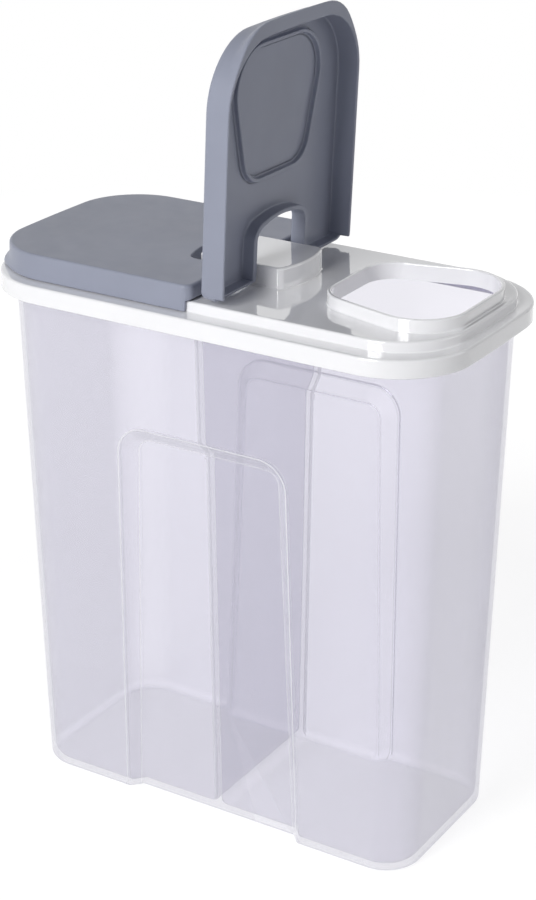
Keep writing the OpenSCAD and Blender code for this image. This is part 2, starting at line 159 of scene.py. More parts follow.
class KEEPER_caps(bpy.types.PropertyGroup):
    """Sizes of the flip caps."""

    side_gap: length("Side gap", "Gap to the deck's sides", 0.00045)
    end_gap: length("End gap", "Gap to the deck's end", 0.0006)
    ledge_gap: length("Ledge gap", "Gap above the ledge", 0.0004)
    seat_gap: length("Seat gap", "Gap above the collar", 0.0003)
    deck_gap: length("Deck gap", "Gap above the deck", 0.0003)
    wall: length("Wall", "Thickness of the side walls", 0.0014)
    end_wall: length("End wall", "Thickness of the end wall", 0.0022)
    panel: length("Panel", "Thickness of the top", 0.0012)
    edge_round: length("Edge rounding", "Rounding of the top edge", 0.0012)
    hinge_round: length("Hinge edge rounding", "Rounding of the top edge at the hinge", 0.0014)
    arch_round: length("Arch edge rounding", "Rounding of the arch's top edge", 0.0005)
    draft: length("Draft", "How far the walls lean in", 0.0003)
    overhang: length("Overhang", "How far a cap reaches past its axis", 0.0024)
    hinge_corner: length("Hinge corner", "Corner radius at the hinge end", 0.004)
    clearance: length("Bore clearance", "Radial clearance round a pin", 0.00008)
    pin_end_gap: length("Pin end gap", "Gap between a pin and its bore's end", 0.0003)
    ear_skin: length("Ear skin", "Thickness left outside a bore", 0.0007)
    lip_reach: length("Lip reach", "How far the finger lip stands out", 0.0033)
    lip_half_width: length("Lip half width", "Half width at full reach", 0.034)
    lip_fade: length("Lip fade", "Length over which it fades", 0.012)
    lip_height: length("Lip height", "Height of its upper edge", 0.0052)
    arch_side_gap: length("Arch side gap", "Gap to the block's sides", 0.0015)
    arch_end_gap: length("Arch end gap", "Gap to the block's end", 0.004)
    arch_corner: length("Arch corner", "Corner radius of the arch", 0.003)
    arch_wall: length("Arch wall", "Thickness of the walls along it", 0.0025)
    arch_end_wall: length("Arch end wall", "Thickness of the wall across its end", 0.0016)
    plug_gap: length("Plug gap", "Gap inside the collar", 0.0005)
    plug_wall: length("Plug wall", "Wall thickness of the plug ring", 0.0015)
    plug_depth: length("Plug depth", "Depth of the plug ring", 0.002)
    open_angle: FloatProperty(
        name="Open angle",
        description="Angle at which the right cap stands open",
        default=radians(87.5),
        subtype="ANGLE",
    )


class KEEPER_colours(bpy.types.PropertyGroup):
    """Colours and finishes."""

    clear: colour("Body colour", "Colour of the clear body", (0.86, 0.86, 0.91))
    clear_tint: colour("Body tint", "Tint of what is seen through a wall", (0.943, 0.938, 0.966))
    clear_cover: share("Body cover", "How much a wall seen square on covers", 0.0)
    clear_edge: share("Body edge cover", "How much a wall seen edge on covers", 0.8)
    # Painted highlight: extra white cover along the body's moulded edges, standing in for light
    # caught there
    clear_line: share("Body edge line", "How much more a moulded edge covers", 0.7)
    white: colour("Lid colour", "Colour of the lid", (0.95, 0.95, 0.97))
    grey: colour("Cap colour", "Colour of the flip caps", (0.305, 0.325, 0.405))
    floor: colour("Floor colour", "Colour of the floor", (0.93, 0.93, 0.93))
    floor_glow: share("Floor glow", "How much of the nearby floor shows as plain white", 0.55)
    floor_lit: share("Floor light", "How bright the open floor is under the lamps", 0.46)


# ---------------------------------------------------------------- outlines


def unit(t):
    """t kept between 0 and 1."""
    return min(1.0, max(0.0, t))


def smooth(t):
    """Smooth change from 0 to 1."""
    return t * t * (3 - 2 * t)


def blend(a, b, t):
    """The value between a and b."""
    return a + (b - a) * t


def eased(t, ease):
    """t above 0 and 0 below it, with a rounding of half width ease between them."""
    return max(t, 0.0) if abs(t) > ease else (t + ease) ** 2 / (4 * ease)


def step_slope(t):
    """Share of the recess's depth reached at a share of its step's run."""
    rise = eased(t - SLOPE_START, SLOPE_EASE) - eased(t - SLOPE_END, SLOPE_EASE)
    return rise / (SLOPE_END - SLOPE_START)


def arc(cx, cy, radius, start, end, steps=ARC_STEPS, ry=None):
    """Points from angle start to angle end, in degrees."""
    ry = radius if ry is None else ry
    turns = [radians(blend(start, end, i / steps)) for i in range(steps + 1)]
    return [(cx + radius * cos(a), cy + ry * sin(a)) for a in turns]


def quarter(steps):
    """Angles of a quarter turn, from 0 up."""
    return [radians(90 * i / steps) for i in range(steps + 1)]


def keeper_outline(half_length, half_depth, corner, bow, side_x=(), side_in=lambda x: 0.0):
    """Rounded rectangle with bowed ends, counter-clockwise, with points at side_x along its
    sides, which stand in by side_in there."""
    cx, cy = half_length - corner, half_depth - corner
    side = [(x, half_depth - side_in(x)) for x in side_x]
    along_end = HALF_END + (0.0,) + tuple(-t for t in reversed(HALF_END))
    points = (
        arc(cx, cy, corner, 0, 90)
        + side
        + arc(-cx, cy, corner, 90, 180)
        + [(-half_length, cy * t) for t in along_end]
        + arc(-cx, -cy, corner, 180, 270)
        + [(-x, -y) for x, y in side]
        + arc(cx, -cy, corner, 270, 360)
        + [(half_length, -cy * t) for t in along_end]
    )

    def bowed(x, y):
        near_end = unit((abs(x) - half_length + corner) / corner)
        return x + bow * (1 - (y / half_depth) ** 2) * near_end * (1 if x > 0 else -1)

    return [(bowed(x, y), y) for x, y in points]


def rounded_path(corners, steps=4):
    """(inset, height) path through corners, each (inset, height, radius), with arcs at them."""
    path = []
    for k, (inset, height, radius) in enumerate(corners):
        if not radius or k in (0, len(corners) - 1):
            path.append((inset, height))
            continue
        here = Vector((inset, height))
        back = (Vector(corners[k - 1][:2]) - here).normalized()
        ahead = (Vector(corners[k + 1][:2]) - here).normalized()
        half = back.angle(ahead) / 2
        centre = here + (back + ahead).normalized() * (radius / sin(half))
        first = here + back * (radius / tan(half)) - centre
        last = here + ahead * (radius / tan(half)) - centre
        for i in range(steps + 1):
            turn = first.lerp(last, i / steps).normalized() * radius
            path.append(tuple(centre + turn))
    return path


class Plan:
    """The keeper's outlines and heights, worked out from its sizes."""

    def __init__(self, scene):
        b, l, c = scene.keeper_body, scene.keeper_lid, scene.keeper_caps
        self.b, self.l, self.c = b, l, c
        self.flange = (
            b.top_half_length + b.flange_reach,
            b.top_half_depth + b.flange_reach,
            b.flange_corner,
        )
        out = l.gap + l.wall
        self.rim = tuple(v + out for v in self.flange)
        self.lid_inside = b.height + l.seat_gap
        self.ledge = self.lid_inside + l.wall
        self.rim_bottom = self.ledge - l.rim_height
        self.deck = (self.rim[0] - l.ledge_ends, self.rim[1] - l.ledge_sides, l.deck_corner)
        self.deck_z = self.ledge + l.deck_rise
        self.collar_outer = self.deck[0] + b.bow - l.collar_end_margin
        self.collar_half_outer = self.deck[1] - l.collar_side_margin
        self.collar_half_inner = self.collar_half_outer - l.collar_taper
        self.collar_top = self.deck_z + l.collar_rise
        self.block_top = self.deck_z + l.block_rise
        self.hinge = Vector((l.hinge_x, 0.0, self.deck_z + l.hinge_rise))
        self.arch_half = l.block_half_depth + c.arch_side_gap
        self.arch_end = l.block_half_length + c.arch_end_gap
        self.bore_end = self.arch_half + c.arch_wall - c.ear_skin
        self.pin_end = self.bore_end - c.pin_end_gap
        self.cap_end = self.deck[0] + c.end_gap + c.end_wall
        self.cap_half = self.deck[1] + c.side_gap + c.wall
        self.cap_corner = l.deck_corner
        self.cap_hinge = l.hinge_x - c.overhang
        self.cap_bottom = self.ledge + c.ledge_gap
        self.cap_underside = self.collar_top + c.seat_gap
        self.cap_top = self.cap_underside + c.panel
        self.cap_deck_edge = self.deck_z + c.deck_gap
        self.sweep = l.hinge_rise - c.deck_gap

    # ---- body

    def grip_half_width(self, z):
        """Half width of the grip recess at height z."""
        return blend(self.b.grip_base_width, self.b.grip_top_width, unit(z / self.b.grip_top))

    def grip_run(self, z):
        """Width of the recess's sloping step at height z."""
        return blend(self.b.grip_base_run, self.b.grip_top_run, unit(z / self.b.grip_top))

    def grip_step(self, x, z):
        """Share of the recess's step that is passed at a point of a long side."""
        b = self.b
        side, top = self.grip_half_width(z) - abs(x), b.grip_top - z
        if side < b.grip_corner and top < b.grip_corner:
            inside = b.grip_corner - sqrt((b.grip_corner - side) ** 2 + (b.grip_corner - top) ** 2)
        else:
            inside = min(side, top)
        return inside / self.grip_run(z)

    def grip_in(self, x, z):
        """How far the grip recess stands in from the wall at a point of a long side."""
        depth = blend(self.b.grip_base_depth, self.b.grip_top_depth, unit(z / self.b.grip_top))
        return depth * step_slope(self.grip_step(x, z))

    def edge_highlight_share(self, x, y, z):
        """How much painted highlight a point of the body carries for lying on a moulded edge: at
        either end of a recess's slope, or in the rounding between the divider and a long side."""
        b = self.b
        if z < b.wall * 1.01:  # the floor, whose broad faces would carry an edge's value inwards
            return 0.0
        from_side = blend(b.base_half_depth, b.top_half_depth, z / self.rim_bottom) - abs(y)
        if from_side < b.grip_top_depth + b.wall and abs(x) > b.divider:
            passed = self.grip_step(x, z)
            first = OUTER_HIGHLIGHT * (1 - abs(passed - SLOPE_START) / SLOPE_EASE)
            last = INNER_HIGHLIGHT * (1 - abs(passed - SLOPE_END) / SLOPE_EASE)
            outside = from_side - self.grip_in(x, z) < b.wall / 2
            return unit(max(first, last)) * (1.0 if outside else INSIDE_SHARE)
        from_wall = from_side - self.grip_in(0.0, z) - b.wall
        in_fillet = b.divider_fillet * 0.02 < from_wall < b.divider_fillet * 0.9
        by_divider = abs(x) < b.divider / 2 + b.divider_fillet
        return DIVIDER_HIGHLIGHT if in_fillet and by_divider else 0.0

    def side_stations(self, z, middle):
        """Positions along a long side from +X to -X. They follow the recess's step, also round
        its top corners."""
        corner = self.b.grip_corner
        up = min(max(corner - self.b.grip_top + z, 0.0), corner)
        half = []
        for step in STEP_SHARES:
            radius = corner - step * self.grip_run(z)
            if radius > up:
                side = corner - sqrt(radius**2 - up**2)
            else:
                side = corner + up - radius
            half.append(self.grip_half_width(z) - side)
        half += [blend(half[-1], middle, 0.5), middle]
        return half + [-x for x in reversed(half)]

    def body_outline(self, z, inset, middle):
        """Plan outline of the body's wall at height z, set in by inset."""
        b, t = self.b, z / self.rim_bottom
        return keeper_outline(
            blend(b.base_half_length, b.top_half_length, t) - inset,
            blend(b.base_half_depth, b.top_half_depth, t) - inset,
            blend(b.base_corner, b.top_corner, t) - inset,
            0.0,
            self.side_stations(z, middle),
            lambda x: self.grip_in(x, z),
        )

    def flange_outline(self, inset, middle):
        """Plan outline of the rim flange, set in by inset."""
        half_length, half_depth, corner = (v - inset for v in self.flange)
        side_x = self.side_stations(self.b.height, middle)
        return keeper_outline(half_length, half_depth, corner, self.b.bow, side_x)

    # ---- lid

    def lid_outline(self, base, inset):
        """Outline of the rim or the deck, set in by inset."""
        half_length, half_depth, corner = (v - inset for v in base)
        return keeper_outline(half_length, half_depth, corner, self.b.bow)

    def block_outline(self, inset):
        """Outline of the hinge block, set in by inset."""
        l = self.l
        return keeper_outline(
            l.block_half_length - inset,
            l.block_half_depth - inset,
            max(l.block_corner - inset, 0.0004),
            l.block_bulge,
        )

    def collar_outline(self, grow):
        """Outline of the right pour collar, wider at its outer end, grown by grow."""
        inner, outer = self.l.collar_inner_corner, self.l.collar_outer_corner
        x0, x1 = self.l.collar_inner + inner, self.collar_outer - outer
        y0, y1 = self.collar_half_inner - inner, self.collar_half_outer - outer
        apart = sqrt((x1 - x0) ** 2 + (y1 - y0) ** 2)
        lean = degrees(atan2(y1 - y0, x1 - x0) + asin((outer - inner) / apart))
        return (
            arc(x0, -y0, inner + grow, 180, 270 - lean)
            + arc(x1, -y1, outer + grow, 270 - lean, 360)
            + arc(x1, y1, outer + grow, 0, 90 + lean)
            + arc(x0, y0, inner + grow, 90 + lean, 180)
        )

    # ---- caps

    def lip_share(self, y):
        """Share of the finger lip's reach at a place along a cap's end."""
        past = unit((abs(y) - self.c.lip_half_width) / self.c.lip_fade)
        return 0.5 + 0.5 * cos(pi * past)

    def lip_at(self, z):
        """Reach of the finger lip at height z."""
        c, up = self.c, z - self.cap_bottom
        # 1.08 keeps the full reach over the lowest part of the lip's height
        return c.lip_reach * smooth(unit(1.08 * (1 - up / c.lip_height)))

    def cap_skirt(self, side, end, hinge):
        """Half of a cap's outline from its hinge end round to the middle of its outer end, on
        the -Y side, as (x, y, part) with part "hinge", "skirt" or "end"."""
        c, ro, rh = self.c, self.cap_corner, self.c.hinge_corner
        ox, oy = self.cap_end - ro, self.cap_half - ro
        hx, hy = self.cap_hinge + rh, self.cap_half - rh
        # The corner turns in two parts, whose lower edges step down within 3 degrees
        notch = 180 + self.notch_turn(rh - hinge)
        past_ear = self.arch_half + c.arch_wall + 0.001
        low = [(self.cap_hinge + hinge, -blend(past_ear, hy, t)) for t in (0, 0.5)]
        turn = arc(hx, -hy, rh - hinge, 180, notch - 3, 5, rh - side)
        after = arc(hx, -hy, rh - hinge, notch, 270, 5, rh - side)
        # Inside, the skirt runs straight on to the hinge, clear of the deck's side
        clear = self.cap_half - max(side, c.wall)
        after = [(x, min(y, -clear)) for x, y in after]
        points = [(x, y, "hinge") for x, y in low + turn] + [(x, y, "skirt") for x, y in after]
        straight = [(blend(hx, ox, t), -(self.cap_half - side)) for t in (0.25, 0.5, 0.75)]
        corner = arc(ox, -oy, ro - side, 270, 360)
        ends = [(self.cap_end - side, -oy * t) for t in HALF_END]
        points += [(x, y, "skirt") for x, y in straight]
        for x, y in corner + ends:
            near_end = unit((x - ox) / ro)
            bow = self.b.bow * (1 - (y / self.cap_half) ** 2)
            points.append((x + near_end * (bow - (end - side)), y, "end"))
        return points

    def notch_turn(self, radius):
        """Turn, past the hinge end, at which a hinge corner reaches the hinge axis."""
        from_centre = self.cap_hinge + self.c.hinge_corner - self.l.hinge_x
        across = sqrt(max(radius**2 - from_centre**2, 0.0))
        return 90 - degrees(atan2(from_centre, across))

    def cap_outline(self, side, end, hinge, arch, arch_end):
        """Closed outline of a cap, counter-clockwise, as (x, y, part), without the finger lip.
        Its walls are set in by side, end and hinge. The arch is widened by arch and lengthened
        by arch_end."""
        half = self.cap_skirt(side, end, hinge)
        tip = (self.cap_end - side + self.b.bow - (end - side), 0.0, "end")
        half_width, r = self.arch_half + arch, self.c.arch_corner + arch
        cx, cy = self.arch_end + arch_end - r, half_width - r
        x0 = self.cap_hinge + hinge
        side_x = [blend(x0, self.l.hinge_x, t) for t in (0, 0.3, 0.65, 1.0)]
        side_x += [blend(self.l.hinge_x, cx, t) for t in (0.35, 0.7)]
        leg = [(x, half_width, "arch") for x in side_x]
        bend = arc(cx, cy, r, 90, 0) + [(cx + r, cy * t) for t in HALF_END]
        for x, y in bend:
            bulge = self.l.block_bulge * (1 - (y / half_width) ** 2)
            leg.append((x + bulge * unit((x - cx) / r), y, "arch"))
        crown = [(cx + r + self.l.block_bulge, 0.0, "arch")]

        def mirrored(points):
            return [(x, -y, part) for x, y, part in reversed(points)]

        return half + [tip] + mirrored(half) + leg + crown + mirrored(leg)

    def cap_low(self, x, part):
        """Height of a cap's lower edge."""
        if part in ("skirt", "end"):
            return self.cap_bottom
        if x >= self.l.hinge_x:
            return self.cap_deck_edge
        reach = max(self.sweep**2 - (x - self.l.hinge_x) ** 2, 0.0)
        return self.hinge.z - sqrt(reach)


# ---------------------------------------------------------------- mesh helpers


def edges_of(bm, ring):
    """The edges of a closed ring of vertices."""
    return [bm.edges.get((a, b)) for a, b in zip(ring, ring[1:] + ring[:1])]


def start_ring(bm, points):
    """A closed ring of new vertices on points."""
    ring = [bm.verts.new(p) for p in points]
    for a, b in zip(ring, ring[1:] + ring[:1]):
        bm.edges.new((a, b))
    return ring


def raise_ring(bm, ring, points):
    """Extrudes a closed ring once and puts the new ring on points, in the same order."""
    made = bmesh.ops.extrude_edge_only(bm, edges=edges_of(bm, ring))["geom"]
    place = {v: i for i, v in enumerate(ring)}
    raised = [None] * len(ring)
    for v in made:
        if isinstance(v, bmesh.types.BMVert):
            below = next(e.other_vert(v) for e in v.link_edges if e.other_vert(v) in place)
            raised[place[below]] = v
    for v, p in zip(raised, points):
        v.co = p
    return raised


def sweep(bm, rings, first=None):
    """Carries a ring of vertices through rings of points. Returns the first and last ring."""
    rings = list(rings)
    if first is None:
        first = start_ring(bm, rings.pop(0))
    ring = first
    for points in rings:
        ring = raise_ring(bm, ring, points)
    return first, ring


def close_ring(bm, ring):
    """Fills a ring with one face."""
    bmesh.ops.contextual_create(bm, geom=edges_of(bm, ring))


def fill_between(bm, rings, up):
    """Fills the flat area inside the first ring and outside the others."""
    edges = [e for ring in rings for e in edges_of(bm, ring)]
    bmesh.ops.triangle_fill(bm, use_beauty=True, use_dissolve=False, edges=edges, normal=(0, 0, up))


def at(points, z):
    """Plan points at height z."""
    return [(p[0], p[1], z) for p in points]


def bar_along_y(bm, centre, radius, depth, segments):
    """A closed round bar along Y, with its middle at centre. Returns its vertices."""
    made = bmesh.ops.create_cone(
        bm, cap_ends=True, segments=segments, radius1=radius, radius2=radius, depth=depth
    )["verts"]
    turned = Matrix.Translation(centre) @ Matrix.Rotation(pi / 2, 4, "X")
    bmesh.ops.transform(bm, matrix=turned, verts=made)
    return made


def pin(bm, centre, radius, start, end):
    """A round pin from start to end along Y, with softened ends."""
    middle = Vector((centre.x, (start + end) / 2, centre.z))
    made = bar_along_y(bm, middle, radius, abs(end - start), BAR_SEGMENTS)
    rims = {
        edge
        for vert in made
        for edge in vert.link_edges
        if sum(len(face.verts) > 4 for face in edge.link_faces) == 1
    }
    bmesh.ops.bevel(
        bm,
        geom=list(rims),
        offset=radius * 0.14,
        offset_type="OFFSET",
        segments=2,
        profile=0.5,
        affect="EDGES",
        material=-1,
    )


def finish_mesh(bm):
    """Turns all faces outward and shades them smooth up to the sharp angle."""
    bmesh.ops.recalc_face_normals(bm, faces=bm.faces[:])
    for face in bm.faces:
        face.smooth = True
    for edge in bm.edges:
        edge.smooth = len(edge.link_faces) == 2 and edge.calc_face_angle(0) < SHARP_ANGLE


def add_piece(name, bm, material, body, slot, *nodes):
    """Makes an object of bm, with its material, and hands it to the frame."""
    mesh = bpy.data.meshes.new(name)
    bm.to_mesh(mesh)
    bm.free()
    mesh.materials.append(material)
    piece = bpy.data.objects.new(name, mesh)
    bpy.context.scene.collection.objects.link(piece)
    even = piece.modifiers.new("Even shading", "WEIGHTED_NORMAL")
    even.keep_sharp = True
    even.weight = 80
    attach(piece, body)
    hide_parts(*nodes)


# ---------------------------------------------------------------- materials

NOISE_RANGE = (0.3, 0.7)  # the usual range of a noise texture's value


def new_material(name):
    """A node material with its Principled shader."""
    material = bpy.data.materials.new(name)
    material.use_nodes = True
    tree = material.node_tree
    return material, tree, tree.nodes["Principled BSDF"]


def set_sockets(node, **sockets):
    """Sets a node's sockets by name."""
    for name, value in sockets.items():
        node.inputs[name.replace("_", " ")].default_value = value
    return node


def add_node(tree, kind, **sockets):
    """Adds a node and sets its sockets by name."""
    return set_sockets(tree.nodes.new(kind), **sockets)


def object_place(tree):
    """The place on the object."""
    return tree.nodes.new("ShaderNodeTexCoord").outputs["Object"]


def noise(tree, scale, detail=3.0):
    """Noise on Object coordinates, scale in features per metre."""
    texture = add_node(tree, "ShaderNodeTexNoise", Scale=scale, Detail=detail, Roughness=0.5)
    tree.links.new(object_place(tree), texture.inputs["Vector"])
    return texture.outputs["Fac"]


def mapped(tree, source, start, stop, low, high):
    """Maps a value from the range start to stop to the range low to high."""
    node = add_node(
        tree, "ShaderNodeMapRange", From_Min=start, From_Max=stop, To_Min=low, To_Max=high
    )
    tree.links.new(source, node.inputs["Value"])
    return node.outputs["Result"]


def uneven(tree, scale, low, high, socket):
    """Feeds socket with a value that noise carries between low and high."""
    tree.links.new(mapped(tree, noise(tree, scale), *NOISE_RANGE, low, high), socket)


def tint(tree, scale, rgb, low, high, socket):
    """Feeds socket with a colour that drifts between low and high times rgb."""
    mix = tree.nodes.new("ShaderNodeMix")
    mix.data_type = "RGBA"
    for name, times in (("A", low), ("B", high)):
        mix.inputs[name].default_value = (*(min(1.0, v * times) for v in rgb), 1)
    uneven(tree, scale, 0, 1, mix.inputs["Factor"])
    tree.links.new(mix.outputs["Result"], socket)


def calculate(tree, operation, *values, clamp=False):
    """The result of a Math node on values, each a number or another node's output."""
    node = tree.nodes.new("ShaderNodeMath")
    node.operation = operation
    node.use_clamp = clamp
    for socket, value in zip(node.inputs, values):
        if isinstance(value, bpy.types.NodeSocket):
            tree.links.new(value, socket)
        else:
            socket.default_value = value
    return node.outputs["Value"]


def show_mix(tree, factor, one, other, output="Material Output"):
    """Shows one where factor is 0 and other where it is 1."""
    mix = tree.nodes.new("ShaderNodeMixShader")
    tree.links.new(factor, mix.inputs["Fac"])
    tree.links.new(one, mix.inputs[1])
    tree.links.new(other, mix.inputs[2])
    tree.links.new(mix.outputs["Shader"], tree.nodes[output].inputs["Surface"])


def bump(tree, shader, layers):
    """Stacks bumps of (height, strength, distance) on a shader's normal."""
    last = None
    for height, strength, distance in layers:
        node = add_node(tree, "ShaderNodeBump", Strength=strength, Distance=distance)
        tree.links.new(height, node.inputs["Height"])
        if last:
            tree.links.new(last, node.inputs["Normal"])
        last = node.outputs["Normal"]
    tree.links.new(last, shader.inputs["Normal"])


def clear_plastic(colours):
    """Clear, faintly frosted plastic: a thin film that covers more where it is seen edge on."""
    material, tree, shader = new_material("clear_body_plastic")
    tint(tree, 14, colours.clear, 0.97, 1.03, shader.inputs["Base Color"])
    uneven(tree, 60, 0.05, 0.09, shader.inputs["Roughness"])
    set_sockets(shader, IOR=1.49, Coat_Weight=1.0, Coat_IOR=2.2, Coat_Roughness=0.03)
    wave, grain = (noise(tree, 9, 1.0), 0.12, 0.004), (noise(tree, 900, 2.0), 0.03, 0.0002)
    bump(tree, shader, [wave, grain])
    facing = add_node(tree, "ShaderNodeLayerWeight", Blend=0.25).outputs["Facing"]
    cover = mapped(tree, facing, 0, 1, colours.clear_cover, colours.clear_edge)
    # Painted highlight: the edge attribute adds white cover along the body's moulded edges
    edge = tree.nodes.new("ShaderNodeAttribute")
    edge.attribute_name = HIGHLIGHT_LAYER
    highlighted_cover = calculate(
        tree, "MULTIPLY_ADD", edge.outputs["Fac"], colours.clear_line, cover, clamp=True
    )
    window = add_node(tree, "ShaderNodeBsdfTransparent", Color=(*colours.clear_tint, 1))
    show_mix(tree, highlighted_cover, window.outputs["BSDF"], shader.outputs["BSDF"])
    return material


def white_plastic(colours):
    """Glossy white moulded plastic with faint waves and a fine grain."""
    material, tree, shader = new_material("white_lid_plastic")
    tint(tree, 22, colours.white, 0.985, 1.01, shader.inputs["Base Color"])
    uneven(tree, 130, 0.03, 0.06, shader.inputs["Roughness"])
    set_sockets(shader, IOR=1.5, Coat_Weight=1.0, Coat_IOR=1.7, Coat_Roughness=0.05)
    wave, grain = (noise(tree, 24, 1.0), 0.05, 0.002), (noise(tree, 2600, 2.0), 0.02, 0.0001)
    bump(tree, shader, [wave, grain])
    return material


def grey_plastic(colours):
    """Satin grey moulded plastic with a fine grain."""
    material, tree, shader = new_material("grey_cap_plastic")
    tint(tree, 26, colours.grey, 0.96, 1.05, shader.inputs["Base Color"])
    uneven(tree, 160, 0.34, 0.42, shader.inputs["Roughness"])
    set_sockets(shader, IOR=1.5, Specular_IOR_Level=0.35)
    wave, grain = (noise(tree, 40, 1.0), 0.06, 0.002), (noise(tree, 2400, 2.0), 0.06, 0.0001)
    bump(tree, shader, [wave, grain])
    return material


# ---------------------------------------------------------------- pieces


class KEEPER_OT_body(bpy.types.Operator):
    """Builds the clear body with its divider, grip recesses and rim flange"""

    bl_idname = "keeper.build_body"
    bl_label = "Build body"

    def execute(self, context):
        plan = Plan(context.scene)
        b = plan.b
        middle = b.divider / 2 + b.divider_fillet
        levels = [b.grip_top * t for t in LOW_LEVELS]
        levels += [b.grip_top - b.grip_top_run * t for t in sorted(TOP_LEVELS, reverse=True)]
        bm = bmesh.new()

        def wall(z, inset):
            return at(plan.body_outline(z, inset, middle), z)

        def rim(inset, z):
            return at(plan.flange_outline(inset, middle), z)

        rings = [
            wall(b.base_round * (1 - cos(a)), b.base_round * (1 - sin(a)))
            for a in quarter(5)[:-1]
        ]
        rings += [wall(z, 0) for z in [b.base_round] + levels]
        under = b.height - b.flange_wall
        low = b.height - b.flange_height
        rings += [wall(low, 0), wall(under, 0)]
        top = b.height - b.divider_drop
        skirt = rounded_path(
            [
                (b.flange_wall, under, 0),
                (b.flange_wall, low, EDGE),
                (0, low, EDGE),
                (0, b.height, EDGE),
                (0.003, b.height, 0),
            ],
            3,
        )
        rings += [rim(inset, z) for inset, z in skirt]
        lip = rounded_path([(0, b.height, 0), (b.wall, b.height, EDGE), (b.wall, top, 0)], 3)
        rings += [at(plan.body_outline(b.height, inset, middle), z) for inset, z in lip]
        base, inner = sweep(bm, rings)
        close_ring(bm, base)

        # The divider's top, then each compartment from there down
        count = len(inner) // 2
        turn = ARC_STEPS + 1 + len(plan.side_stations(0, middle)) // 2
        left = inner[turn : turn + count]
        right = inner[turn + count :] + inner[:turn]
        inner_round = b.base_round + 0.001  # rounder than outside, which thickens the corner

        def crossing(half, side, x0):
            """The way across the divider's face, from one long side to the other."""
            r = b.divider_fillet
            cx, cy = side * (x0 + r), half - r
            onto, off = ((90, 180), (180, 270)) if side > 0 else ((270, 360), (0, 90))
            first = arc(cx, side * cy, r, *onto, 5)
            last = arc(cx, -side * cy, r, *off, 5)
            face = [(side * x0, side * cy * t) for t in (0.5, 0, -0.5)]
            return (first + face + last)[1:-1]

        def compartment(z, inset, side):
            """Outline of a compartment, its wall part first and the divider's face last."""
            ring = plan.body_outline(z, inset, middle + inset - b.wall)
            part = ring[turn + count :] + ring[:turn] if side > 0 else ring[turn : turn + count]
            x0 = b.divider / 2 + inset - b.wall
            return at(part + crossing(abs(part[0][1]), side, x0), z)

        def chain(side, ring):
            """Adds the way across the divider's face to half of the inner ring."""
            half = abs(ring[0].co.y)
            way = [bm.verts.new((x, y, top)) for x, y in crossing(half, side, b.divider / 2)]
            line = [ring[-1]] + way + [ring[0]]
            for a, c in zip(line, line[1:]):
                bm.edges.new((a, c))
            return ring + way

        loops = {1: chain(1, right), -1: chain(-1, left)}
        across = [e for v in loops[1][count:] + loops[-1][count:] for e in v.link_edges]
        ends = [bm.edges.get((right[-1], left[0])), bm.edges.get((left[-1], right[0]))]
        bmesh.ops.contextual_create(bm, geom=list(set(across)) + ends)
        for side, loop in loops.items():
            down = [z for z in reversed(levels) if z < top]
            steps = [compartment(z, b.wall, side) for z in [low] + down]
            for a in quarter(5):
                up, inwards = inner_round * (1 - sin(a)), inner_round * (1 - cos(a))
                steps.append(compartment(b.wall + up, b.wall + inwards, side))
            _, floor = sweep(bm, steps, loop)
            close_ring(bm, floor)
        finish_mesh(bm)
        # Painted highlight lines: each point gets how much white cover it adds along the moulded
        # edges
        edges = bm.verts.layers.float.new(HIGHLIGHT_LAYER)
        for vert in bm.verts:
            vert[edges] = plan.edge_highlight_share(*vert.co)
        material = clear_plastic(context.scene.keeper_colours)
        add_piece("keeper_body", bm, material, "container", "clear_body", "container")
        return {"FINISHED"}


